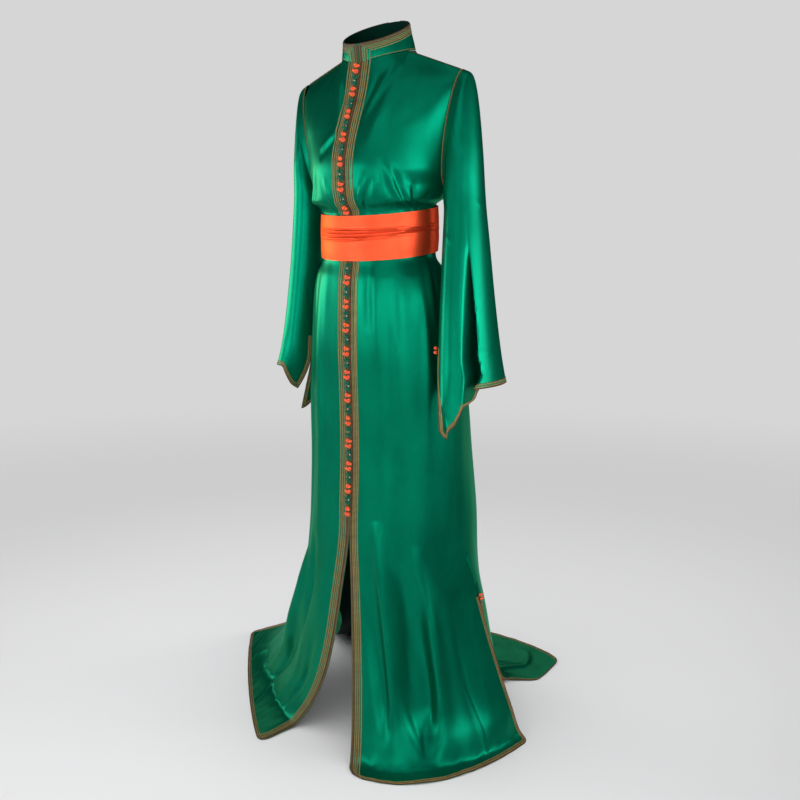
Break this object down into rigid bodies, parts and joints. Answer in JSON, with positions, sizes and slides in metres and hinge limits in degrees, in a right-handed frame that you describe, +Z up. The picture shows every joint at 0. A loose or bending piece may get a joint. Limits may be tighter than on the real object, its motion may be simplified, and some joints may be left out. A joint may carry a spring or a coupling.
{
  "type": "moroccan kaftan",
  "caption": "Floor-length satin kaftan, hollow as worn: stand collar, knotted and braided front opening, long sleeves with slit cuffs, side-slit skirt with a trailing hem, wide sash.",
  "frame": {"origin": "between the wearer's shoulders, at the height of the side neck points", "axes": "+Z up along the wearer, -Y to the wearer's front, +X to the wearer's left"},
  "size_m": [0.9636, 0.883, 1.5271],
  "materials": {
    "green_satin": "satin",
    "coral_satin": "satin",
    "braid": "braided silk and gold thread",
    "gold_piping": "twisted cord",
    "orange_knots": "wound silk thread",
    "green_knots": "wound silk thread"
  },
  "bodies": {
    "root": {"back": "green_satin", "bead_side_slit_left": "orange_knots", "bead_side_slit_right": "orange_knots", "bead_sleeve_slit_left": "orange_knots", "bead_sleeve_slit_right": "orange_knots", "braid_back": "braid", "braid_collar": "braid", "braid_front_left": "braid", "braid_front_right": "braid", "braid_sleeve_left": "braid", "braid_sleeve_right": "braid", "collar": "green_satin", "front_left": "green_satin", "front_right": "green_satin", "knots_01_orange": "orange_knots", "knots_02_green": "green_knots", "knots_03_orange": "orange_knots", "knots_04_green": "green_knots", "knots_05_orange": "orange_knots", "knots_06_green": "green_knots", "knots_07_orange": "orange_knots", "knots_08_green": "green_knots", "knots_09_orange": "orange_knots", "knots_10_green": "green_knots", "knots_11_orange": "orange_knots", "knots_12_green": "green_knots", "knots_13_orange": "orange_knots", "knots_18_green": "green_knots", "knots_19_orange": "orange_knots", "knots_20_green": "green_knots", "knots_21_orange": "orange_knots", "knots_22_green": "green_knots", "knots_23_orange": "orange_knots", "knots_24_green": "green_knots", "knots_25_orange": "orange_knots", "knots_26_green": "green_knots", "knots_27_orange": "orange_knots", "knots_28_green": "green_knots", "knots_29_orange": "orange_knots", "knots_30_green": "green_knots", "knots_31_orange": "orange_knots", "knots_32_green": "green_knots", "knots_33_orange": "orange_knots", "knots_34_green": "green_knots", "knots_35_orange": "orange_knots", "knots_36_green": "green_knots", "knots_37_orange": "orange_knots", "knots_38_green": "green_knots", "knots_39_orange": "orange_knots", "piping_armhole_left": "gold_piping", "piping_armhole_right": "gold_piping", "piping_collar": "gold_piping", "piping_shoulder_left": "gold_piping", "piping_shoulder_right": "gold_piping", "sash": "coral_satin", "sleeve_left": "green_satin", "sleeve_right": "green_satin"}
  },
  "joints": []
}
